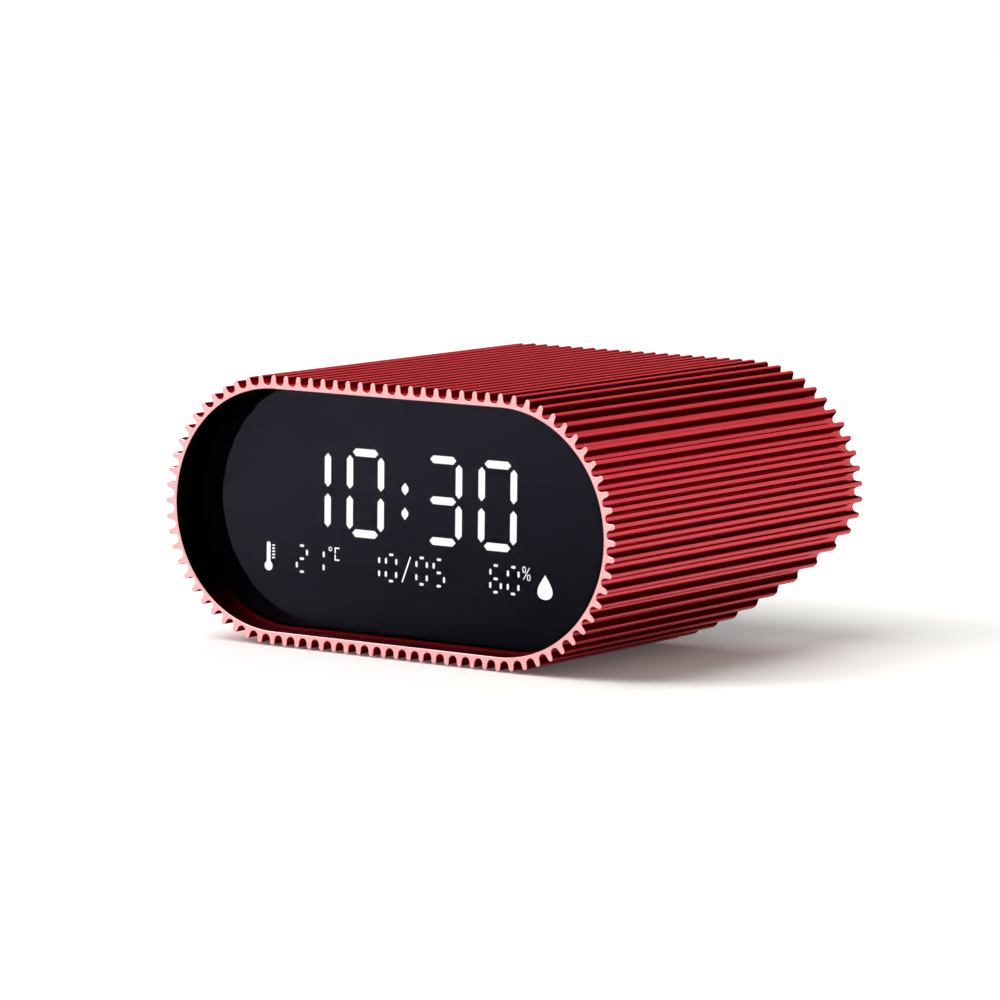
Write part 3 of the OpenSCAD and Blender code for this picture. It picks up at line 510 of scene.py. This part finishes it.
def rib_outline(inset):
    """Points (x, z) round the rib tips and grooves, set in by a distance."""
    points = []
    for i in range(2 * RIB_COUNT):
        x, a = station(i / 2)
        tip = i % 2 == 0
        radius = RIB_HALF - inset if tip else GROOVE_RADIUS + inset
        middle = TIP_RADIUS - RIB_HALF if tip else ROOT_RADIUS + GROOVE_RADIUS
        for k in range(ARC_STEPS + 1):
            b = math.pi * (k / ARC_STEPS - 0.5)
            side = radius * math.sin(b)
            out = middle + radius * math.cos(b) * (1 if tip else -1)
            across = out * math.cos(a) + side * math.sin(a)
            points.append((x + across, out * math.sin(a) - side * math.cos(a)))
    return points


def inner_outline(radius):
    """Points (x, z) of the bore, one straight inside each point of the rib outline."""
    points = []
    for x, z in rib_outline(0):
        middle = max(-STRAIGHT / 2, min(STRAIGHT / 2, x))
        share = radius / math.hypot(x - middle, z)
        points.append((middle + (x - middle) * share, z * share))
    return points


def rear_y(z, inset):
    """Depth of the rear at a height above the axis, set in by a distance."""
    radius = BEND_RADIUS - inset
    if z > BEND_Z:
        return REAR_Y - inset
    if z > BEND_Z - radius * math.sin(SLOPE_ANGLE):
        return REAR_Y - BEND_RADIUS + math.sqrt(radius * radius - (BEND_Z - z) ** 2)
    return REAR_Y + (z + SLOPE_DROP) * math.tan(SLOPE_ANGLE) - inset / math.cos(SLOPE_ANGLE)


def upright(points, y):
    """Outline points (x, z) at one depth."""
    return [(x, y, AXIS_Z + z) for x, z in points]


def sloped(points, inset):
    """Outline points (x, z) on the rear of the tube."""
    return [(x, rear_y(z, inset), AXIS_Z + z) for x, z in points]


def ribbed_tube():
    """The tube with broken edges, a lip in front of the lens and pockets for the feet."""
    lip_back = lens_low.y
    lip_front = lip_back - LIP_THICKNESS
    ribs = rib_outline(0)
    broken_ribs = rib_outline(EDGE_BREAK)
    bore = inner_outline(BORE_RADIUS)
    broken_bore = inner_outline(BORE_RADIUS + EDGE_BREAK)
    lip = inner_outline(BORE_RADIUS - LIP_HEIGHT)
    around = [
        (sloped(ribs, EDGE_BREAK), RIBS),
        (upright(ribs, FRONT_Y + EDGE_BREAK), CUT),
        (upright(broken_ribs, FRONT_Y), CUT),
        (upright(broken_bore, FRONT_Y), CUT),
        (upright(bore, FRONT_Y + EDGE_BREAK), RECESS),
        (upright(bore, lip_front), RECESS),
        (upright(lip, lip_front), RECESS),
        (upright(lip, lip_back), RECESS),
        (upright(bore, lip_back), RECESS),
        (sloped(bore, EDGE_BREAK), CUT),
        (sloped(broken_bore, 0), CUT),
        (sloped(broken_ribs, 0), CUT),
    ]
    bm = bmesh.new()
    rings = [add_ring(bm, points) for points, finish in around]
    for i, ring in enumerate(rings):
        join_rings(bm, ring, rings[(i + 1) % len(rings)], around[i][1])
    tube = piece(
        "ribbed_tube", bm, [cut_end, anodised, recess_red], "clock", ["ribbed_shell"],
    )
    carve(tube, [merged([foot_pocket(x, y) for x, y in FOOT_PLACES])])


def lens_plate():
    """The lens with its edges broken, clear of the ring behind it."""
    reach = BORE_RADIUS - LENS_GAP
    back = lens_high.y - LENS_CLEAR
    bm = bmesh.new()
    lathe(bm, [
        (reach - EDGE_BREAK, lens_low.y), (reach, lens_low.y + EDGE_BREAK), (reach, back - EDGE_BREAK),
        (reach - EDGE_BREAK, back),
    ], (0, AXIS_Z), STRAIGHT, WIDE_STEPS)
    piece("lens_plate", bm, [smoked_lens], "clock", ["lens"])


# Feet

foot_low, foot_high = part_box("rubber_feet")
FOOT_RADIUS = 4 * MM
FOOT_GAP = 0.15 * MM
FOOT_ROUND = 0.5 * MM
FOOT_TOP_ROUND = 0.15 * MM
SOLE_PROFILE = [(0.9 * MM, 0.12 * MM), (2.2 * MM, 0.1 * MM), (2.5 * MM, 0.0)]
WELL_MOUTH = 2.4 * MM
WELL_FLOOR = 2.2 * MM
WELL_MIDDLE = 0.9 * MM
WELL_DEPTH = 1.6 * MM
POCKET_SUNK = 0.02 * MM
SCREW_HOLE = 1.2 * MM
FOOT_PLACES = [
    (x, y)
    for x in (foot_low.x + FOOT_RADIUS, foot_high.x - FOOT_RADIUS)
    for y in (foot_low.y + FOOT_RADIUS, foot_high.y - FOOT_RADIUS)
]
UPRIGHT = Matrix.Rotation(math.radians(90), 4, "X")


def stand(bm, x, y):
    """Turns shapes made along y about the origin to stand along z at a place on the floor."""
    bmesh.ops.transform(bm, matrix=Matrix.Translation((x, y, 0)) @ UPRIGHT, verts=bm.verts)
    return bm


def merged(shapes):
    """One bmesh of several."""
    whole = bmesh.new()
    for shape in shapes:
        mesh = bpy.data.meshes.new("shape")
        shape.to_mesh(mesh)
        shape.free()
        whole.from_mesh(mesh)
        bpy.data.meshes.remove(mesh)
    return whole


def foot_pocket(x, y):
    """The pocket of a foot in the tube, with its screw hole."""
    bottom = shell_low.z + RIB_HEIGHT + POCKET_SUNK
    bm = bmesh.new()
    lathe(bm, [
        (FOOT_RADIUS + FOOT_GAP, -MM), (FOOT_RADIUS + FOOT_GAP, bottom), (SCREW_HOLE, bottom),
        (SCREW_HOLE, AXIS_Z - BORE_RADIUS + MM),
    ], (0, 0))
    return stand(bm, x, y)


def rubber_foot(x, y):
    """A round foot with a hollow sole and a well for its screw head."""
    top = foot_high.z
    bm = bmesh.new()
    lathe(bm, [
        *SOLE_PROFILE,
        *reversed(rounded((FOOT_RADIUS, 0.0), FOOT_ROUND, (1, -1), 5)),
        *rounded((FOOT_RADIUS, top), FOOT_TOP_ROUND, (1, 1), 3),
        (WELL_MOUTH, top), (WELL_FLOOR, top - WELL_DEPTH), (WELL_MIDDLE, top - WELL_DEPTH),
    ], (0, 0), steps=SMOOTH_STEPS)
    return stand(bm, x, y)


def rubber_feet():
    """All four feet as one piece."""
    bm = merged([rubber_foot(x, y) for x, y in FOOT_PLACES])
    piece("rubber_foot_set", bm, [foot_rubber], "clock", ["rubber_feet"])


# Foam pad under the battery

FOAM_CORNER = 1.5 * MM
FOAM_WAIST = 0.4 * MM
FOAM_HOLLOW = 0.25 * MM
FOAM_STEPS = 8


def foam_outline(half, inset):
    """Points (x, y) round the pad, its sides drawn in between round corners, all set in by a distance."""
    radius = FOAM_CORNER - inset
    points = []
    for turn in range(4):
        along, across = (half.x, half.y) if turn % 2 == 0 else (half.y, half.x)
        side = [
            ((along - FOAM_CORNER) * t, inset - across + FOAM_WAIST * (1 - t * t))
            for t in (2 * i / FOAM_STEPS - 1 for i in range(FOAM_STEPS + 1))
        ]
        corner = [
            (along - FOAM_CORNER + radius * math.sin(a), FOAM_CORNER - across - radius * math.cos(a))
            for a in (math.pi / 2 * i / FOAM_STEPS for i in range(1, FOAM_STEPS))
        ]
        quarter = Matrix.Rotation(math.pi / 2 * turn, 2)
        points += [quarter @ Vector(point) for point in side + corner]
    return points


def battery_foam():
    """Flat above and below, where the cell presses it on the inner frame, and hollow along its sides."""
    pad_low, pad_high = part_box("battery_pad")
    middle = (pad_low + pad_high) / 2
    half = (pad_high - pad_low) / 2
    bm = bmesh.new()
    rings = []
    for i in range(FOAM_STEPS + 1):
        share = 2 * i / FOAM_STEPS - 1
        z = middle.z + share * half.z
        outline = foam_outline(half, FOAM_HOLLOW * (1 - share * share))
        rings.append(add_ring(bm, [(middle.x + x, middle.y + y, z) for x, y in outline]))
    for first, second in zip(rings, rings[1:]):
        join_rings(bm, first, second)
    for end in (rings[0], rings[-1]):
        bm.faces.new(end)
    foam = piece("battery_foam", bm, [grey_foam], "clock", ["battery_pad"])


# Rear cover and its buttons

BUTTON_RADIUS = 4 * MM
BUTTON_GAP = 0.25 * MM
SNOOZE_RADIUS = 3.5 * MM
SNOOZE_STRAIGHT = 30 * MM
FLANGE_WIDTH = 0.8 * MM
FLANGE_THICKNESS = 1 * MM
FLANGE_GAP = 0.05 * MM
STEM_RADIUS = 1.5 * MM
CAP_ROUND = 0.5 * MM
CAP_MIDDLE = 0.6
DISH = 0.18 * MM
DISH_RINGS = (0.8, 0.6, 0.4, 0.2)
SYMBOL_DEPTH = 0.3 * MM
SYMBOL_BAR = 0.8 * MM
SYMBOL_SIZE = 4 * MM
BELL_STEPS = 20
COVER_EDGE = 0.25 * MM
SCREW_HEAD_RADIUS = 1.9 * MM
SCREW_HEAD_GAP = 0.25 * MM
SCREW_HEAD_HEIGHT = 1.3 * MM
POST_RADIUS = 3 * MM
POST_SUNK = 0.2 * MM


def middle_of(node):
    """Middle of a node's box as (x, z)."""
    low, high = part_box(node)
    return (low.x + high.x) / 2, (low.z + high.z) / 2


BUTTON_NAMES = ["set", "down", "up", "alarm"]
BUTTON_PLACES = {name: middle_of(name + "_button") for name in BUTTON_NAMES}
SNOOZE_PLACE = middle_of("snooze_bar")
USB_PLACE = middle_of("usb_socket")
BUZZER_PLACE = middle_of("buzzer")
SENSOR_PLACE = middle_of("climate_sensor")
screw_low, screw_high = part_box("cover_screws")
SCREW_ANGLES = (math.radians(40), math.radians(12))
SCREW_REACH = (screw_high.z - SCREW_HEAD_RADIUS - AXIS_Z) / math.sin(SCREW_ANGLES[0])
SCREW_PLACES = [
    (side * (STRAIGHT / 2 + SCREW_REACH * math.cos(a)), AXIS_Z + SCREW_REACH * math.sin(a))
    for side in (-1, 1)
    for a in SCREW_ANGLES
]
post_low, post_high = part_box("board_screws")
LOWER_POST_X = 16 * MM
POST_PLACES = [
    (side * x, z)
    for side in (-1, 1)
    for x, z in (
        (post_high.x - SCREW_HEAD_RADIUS, post_high.z - SCREW_HEAD_RADIUS),
        (LOWER_POST_X, post_low.z + SCREW_HEAD_RADIUS),
    )
]
board_low, board_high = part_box("main_board")
usb_low, usb_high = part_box("usb_socket")
USB_RADIUS = (usb_high.z - usb_low.z) / 2
USB_STRAIGHT = usb_high.x - usb_low.x - 2 * USB_RADIUS
USB_GAP = 0.25 * MM
SOUND_HOLE_RADIUS = 0.9 * MM
SOUND_RING_RADIUS = 3.6 * MM
SOUND_HOLES = 6
SLOT_RADIUS = 0.6 * MM
SLOT_STRAIGHT = 4.8 * MM
SLOT_PITCH = 2.6 * MM
SLOTS = 4


def cover_holes():
    """Every hole of the cover: its place, profile of (radius, y) from rear to front, straight and turn."""
    def plain(radius):
        return [
            (radius + COVER_EDGE, COVER_REAR_Y), (radius, COVER_REAR_Y - COVER_EDGE), (radius, COVER_FRONT_Y),
        ]

    holes = [(place, plain(BUTTON_RADIUS + BUTTON_GAP), 0, False) for place in BUTTON_PLACES.values()]
    holes.append((SNOOZE_PLACE, plain(SNOOZE_RADIUS + BUTTON_GAP), SNOOZE_STRAIGHT, False))
    holes.append((USB_PLACE, plain(USB_RADIUS + USB_GAP), USB_STRAIGHT, False))
    holes.append((BUZZER_PLACE, plain(SOUND_HOLE_RADIUS), 0, False))
    for i in range(SOUND_HOLES):
        a = 2 * math.pi * i / SOUND_HOLES
        x = BUZZER_PLACE[0] + SOUND_RING_RADIUS * math.cos(a)
        z = BUZZER_PLACE[1] + SOUND_RING_RADIUS * math.sin(a)
        holes.append(((x, z), plain(SOUND_HOLE_RADIUS), 0, False))
    for i in range(SLOTS):
        x = SENSOR_PLACE[0] + (i - (SLOTS - 1) / 2) * SLOT_PITCH
        holes.append(((x, SENSOR_PLACE[1]), plain(SLOT_RADIUS), SLOT_STRAIGHT, True))
    seat = SCREW_HEAD_RADIUS + SCREW_HEAD_GAP
    floor = COVER_REAR_Y - SCREW_HEAD_HEIGHT
    for place in SCREW_PLACES:
        profile = [*plain(seat)[:2], (seat, floor), (SCREW_HOLE, floor), (SCREW_HOLE, COVER_FRONT_Y)]
        holes.append((place, profile, 0, False))
    return holes


def bend(bm):
    """Bends a flat cover to the side profile of the tube."""
    recess = REAR_Y - COVER_REAR_Y
    for i in range(BEND_STEPS + 1):
        z = BEND_Z - (BEND_RADIUS - recess) * math.sin(SLOPE_ANGLE * i / BEND_STEPS)
        everything = bm.verts[:] + bm.edges[:] + bm.faces[:]
        bmesh.ops.bisect_plane(bm, geom=everything, plane_co=(0, 0, AXIS_Z + z), plane_no=(0, 0, 1))
    for vert in bm.verts:
        vert.co.y = rear_y(vert.co.z - AXIS_Z, REAR_Y - vert.co.y)


def rear_cover():
    """The cover with its holes, bent to the rear of the tube, and the posts that carry the main board."""
    bm = bmesh.new()
    rim = [
        (COVER_RADIUS - COVER_EDGE, COVER_REAR_Y), (COVER_RADIUS, COVER_REAR_Y - COVER_EDGE),
        (COVER_RADIUS, COVER_FRONT_Y),
    ]
    rear_loops = []
    front_loops = []
    for place, profile, straight, turned in [((0, AXIS_Z), rim, STRAIGHT, False), *cover_holes()]:
        steps = WIDE_STEPS if straight == STRAIGHT else ROUND_STEPS
        rings = [
            ring_at(bm, stadium(radius, straight, steps, turned), y, place) for radius, y in profile
        ]
        for first, second in zip(rings, rings[1:]):
            join_rings(bm, first, second)
        rear_loops.append(rings[0])
        front_loops.append(rings[-1])
    for loops in (rear_loops, front_loops):
        edges = [bm.edges.get((ring[i - 1], ring[i])) for ring in loops for i in range(len(ring))]
        bmesh.ops.triangle_fill(bm, use_beauty=True, use_dissolve=False, edges=edges)
    bend(bm)
    for x, z in POST_PLACES:
        front = [(x + px, board_high.y, z + pz) for px, pz in stadium(POST_RADIUS)]
        rear = [(px, rear_y(pz - AXIS_Z, REAR_Y - COVER_FRONT_Y - POST_SUNK), pz) for px, y, pz in front]
        ends = [add_ring(bm, front), add_ring(bm, rear)]
        join_rings(bm, *ends)
        for end in ends:
            bm.faces.new(end)
    piece("rear_cover_plate", bm, [cover_plastic], "clock", ["rear_cover"])


def cap_profile(radius, cap_back):
    """Profile of a button cap from its flange to the dished top."""
    flange_back = COVER_FRONT_Y - FLANGE_GAP
    flange_front = flange_back - FLANGE_THICKNESS
    dished = [
        ((radius - CAP_ROUND) * share, cap_back - DISH * (1 - share * share)) for share in DISH_RINGS
    ]
    return [
        (radius * CAP_MIDDLE, flange_front), (radius + FLANGE_WIDTH, flange_front),
        (radius + FLANGE_WIDTH, flange_back), (radius, flange_back),
        *rounded((radius, cap_back), CAP_ROUND, (1, 1), 6), *dished,
    ]


def symbol_cutters(name, place, cap_back):
    """Shapes of the symbol on a cap: a ring, a minus, a plus, a bell or a long bar."""
    bottom = cap_back - SYMBOL_DEPTH - DISH
    top = cap_back + MM
    half = SYMBOL_SIZE / 2
    bar = SYMBOL_BAR / 2
    cutters = []

    def cut(outline):
        bm = bmesh.new()
        prism(bm, outline, bottom, top, place)
        cutters.append(bm)

    if name == "set":
        hole = half - SYMBOL_BAR
        bm = bmesh.new()
        lathe(bm, [(half, bottom), (half, top), (hole, top), (hole, bottom)], place, closed=True)
        cutters.append(bm)
    if name == "down":
        cut(stadium(bar, SYMBOL_SIZE - SYMBOL_BAR))
    if name == "up":
        cut(stadium(bar, SYMBOL_SIZE - SYMBOL_BAR))
        cut(stadium(bar, SYMBOL_SIZE - SYMBOL_BAR, turned=True))
    if name == "alarm":
        reach = half - bar
        angles = [math.pi * i / BELL_STEPS for i in range(BELL_STEPS + 1)]
        dome = [(reach * math.cos(a), reach * math.sin(a)) for a in angles]
        cut([*dome, (-reach, -bar), (reach, -bar)])
        cut([(x, z - SYMBOL_BAR) for x, z in stadium(bar, SYMBOL_SIZE - bar)])
        cut([(x, z - half - bar / 2) for x, z in stadium(bar)])
    if name == "snooze":
        cut(stadium(bar, SNOOZE_STRAIGHT / 2))
    return cutters


def button(name, node, radius, straight, place):
    """A cap with its flange, stem and symbol, which rides on the button's own body."""
    cap_low, cap_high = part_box(node)
    stem_back = COVER_FRONT_Y - FLANGE_GAP - FLANGE_THICKNESS / 2
    bm = bmesh.new()
    lathe(bm, cap_profile(radius, cap_high.y), place, straight, SMOOTH_STEPS)
    lathe(bm, [(STEM_RADIUS, cap_low.y), (STEM_RADIUS, stem_back)], place)
    cap = piece(name + "_cap", bm, [button_plastic, symbol_paint], name, [node])
    carve(cap, symbol_cutters(name, place, cap_high.y))


# Charging socket

TONGUE_CONTACTS = 12
CONTACT_PITCH = 0.5 * MM
CONTACT_WIDTH = 0.26 * MM
CONTACT_LENGTH = 3.6 * MM
CONTACT_PROUD = 0.02 * MM
CONTACT_SET_BACK = 0.3 * MM
USB_WALL = 0.3 * MM
USB_FLOOR = 1 * MM
USB_RIM = 0.08 * MM
USB_MIDDLE = 0.5


def charging_socket():
    """The steel shell of the socket, and the contacts on its tongue."""
    inside = USB_RADIUS - USB_WALL
    bm = bmesh.new()
    lathe(bm, [
        (USB_RADIUS * USB_MIDDLE, usb_low.y), (USB_RADIUS, usb_low.y), (USB_RADIUS, usb_high.y - USB_RIM),
        (USB_RADIUS - USB_RIM, usb_high.y), (inside + USB_RIM, usb_high.y), (inside, usb_high.y - USB_RIM),
        (inside, usb_low.y + USB_FLOOR), (inside * USB_MIDDLE, usb_low.y + USB_FLOOR),
    ], USB_PLACE, USB_STRAIGHT)
    piece("charging_socket_shell", bm, [socket_steel], "clock", ["usb_socket"])

    tongue_low, tongue_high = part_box("usb_tongue")
    end = tongue_high.y - CONTACT_SET_BACK
    half = CONTACT_WIDTH / 2
    strip = [(-half, 0), (half, 0), (half, CONTACT_PROUD), (-half, CONTACT_PROUD)]
    bm = bmesh.new()
    for face in (tongue_low.z - CONTACT_PROUD, tongue_high.z):
        for i in range(TONGUE_CONTACTS):
            x = USB_PLACE[0] + (i - (TONGUE_CONTACTS - 1) / 2) * CONTACT_PITCH
            prism(bm, strip, end - CONTACT_LENGTH, end, (x, face))
    piece("charging_contacts", bm, [contact_gold], "clock")


# Stage

FLOOR_SIZE = 6.0
FLOOR_ALBEDO = (0.9, 0.897, 0.89)
FLOOR_GLOW = 0.06
AMBIENT = 0.35
AMBIENT_COLOUR = (AMBIENT, 0.985 * AMBIENT, 0.92 * AMBIENT)
KEY_AZIMUTH = CAMERA_AZIMUTH - math.radians(88)
KEY_ELEVATION = math.radians(34)
KEY_STRENGTH = 1.7
KEY_SPREAD = math.radians(28)
TOP_AZIMUTH = CAMERA_AZIMUTH - math.radians(100)
TOP_ELEVATION = math.radians(67)
TOP_STRENGTH = 1.6
TOP_SPREAD = math.radians(40)
BACK_AZIMUTH = CAMERA_AZIMUTH - math.radians(190)
BACK_ELEVATION = math.radians(35)
BACK_STRENGTH = 1.1
BACK_SPREAD = math.radians(30)


def seen_rays(tree, add):
    """1 for rays that show the background: camera, glossy and transmission rays."""
    path = add("LightPath").outputs
    mirrored = maths(tree, add, "MAXIMUM", path["Is Glossy Ray"], path["Is Transmission Ray"])
    return maths(tree, add, "MAXIMUM", path["Is Camera Ray"], mirrored)


def stage():
    """A pale floor, a white surround that lights softly, and three lamps."""
    bm = bmesh.new()
    bmesh.ops.create_grid(bm, x_segments=2, y_segments=2, size=FLOOR_SIZE / 2)
    mesh = bpy.data.meshes.new("floor")
    bm.to_mesh(mesh)
    bm.free()
    floor = bpy.data.objects.new("floor", mesh)
    bpy.context.scene.collection.objects.link(floor)
    material = bpy.data.materials.new("floor")
    tree, add = node_tree(material)
    shader = tree.nodes["Principled BSDF"]
    shader.inputs["Base Color"].default_value = (*FLOOR_ALBEDO, 1)
    shader.inputs["Roughness"].default_value = 1.0
    shader.inputs["Specular IOR Level"].default_value = 0.0
    shader.inputs["Emission Color"].default_value = (*WHITE, 1)
    glow = maths(tree, add, "MULTIPLY", seen_rays(tree, add), FLOOR_GLOW)
    tree.links.new(glow, shader.inputs["Emission Strength"])
    mesh.materials.append(material)

    world = bpy.data.worlds.new("studio")
    bpy.context.scene.world = world
    tree, add = node_tree(world)
    colour = blended(tree, add, seen_rays(tree, add), AMBIENT_COLOUR, WHITE)
    tree.links.new(colour, tree.nodes["Background"].inputs["Color"])

    lamp("key", KEY_AZIMUTH, KEY_ELEVATION, KEY_STRENGTH, KEY_SPREAD)
    lamp("top", TOP_AZIMUTH, TOP_ELEVATION, TOP_STRENGTH, TOP_SPREAD)
    lamp("back", BACK_AZIMUTH, BACK_ELEVATION, BACK_STRENGTH, BACK_SPREAD, mirrored=False)


def towards(azimuth, elevation):
    """Direction from the object to a viewer or a lamp; azimuth 0 is in front of the display."""
    flat = math.cos(elevation)
    return Vector((math.sin(azimuth) * flat, -math.cos(azimuth) * flat, math.sin(elevation)))


def lamp(name, azimuth, elevation, strength, spread, mirrored=True):
    """A distant lamp; one that isn't mirrored leaves no highlight on glossy surfaces."""
    light = bpy.data.lights.new(name, "SUN")
    light.energy = strength
    light.angle = spread
    made = bpy.data.objects.new(name, light)
    made.rotation_euler = towards(azimuth, elevation).to_track_quat("Z", "Y").to_euler()
    made.visible_glossy = mirrored
    bpy.context.scene.collection.objects.link(made)


def camera():
    """The camera, rolled and aimed as in the photograph."""
    back = towards(CAMERA_AZIMUTH, CAMERA_ELEVATION)
    level_right = Vector((0, 0, 1)).cross(back).normalized()
    level_up = back.cross(level_right)
    right = math.cos(CAMERA_ROLL) * level_right + math.sin(CAMERA_ROLL) * level_up
    up = back.cross(right)
    aim = Vector((0, FRONT_Y, AXIS_Z)) + AIM_RIGHT * right + AIM_UP * up
    data = bpy.data.cameras.new("camera")
    data.lens = CAMERA_LENS
    data.sensor_width = CAMERA_SENSOR
    made = bpy.data.objects.new("camera", data)
    axes = Matrix((right, up, back)).transposed().to_4x4()
    made.matrix_world = Matrix.Translation(aim + CAMERA_DISTANCE * back) @ axes
    bpy.context.scene.collection.objects.link(made)
    bpy.context.scene.camera = made


camera()
stage()
ribbed_tube()
lens_plate()
rubber_feet()
battery_foam()
rear_cover()
for name in BUTTON_NAMES:
    button(name, name + "_button", BUTTON_RADIUS, 0.0, BUTTON_PLACES[name])
button("snooze", "snooze_bar", SNOOZE_RADIUS, SNOOZE_STRAIGHT, SNOOZE_PLACE)
charging_socket()

bpy.context.scene.view_settings.view_transform = "Standard"
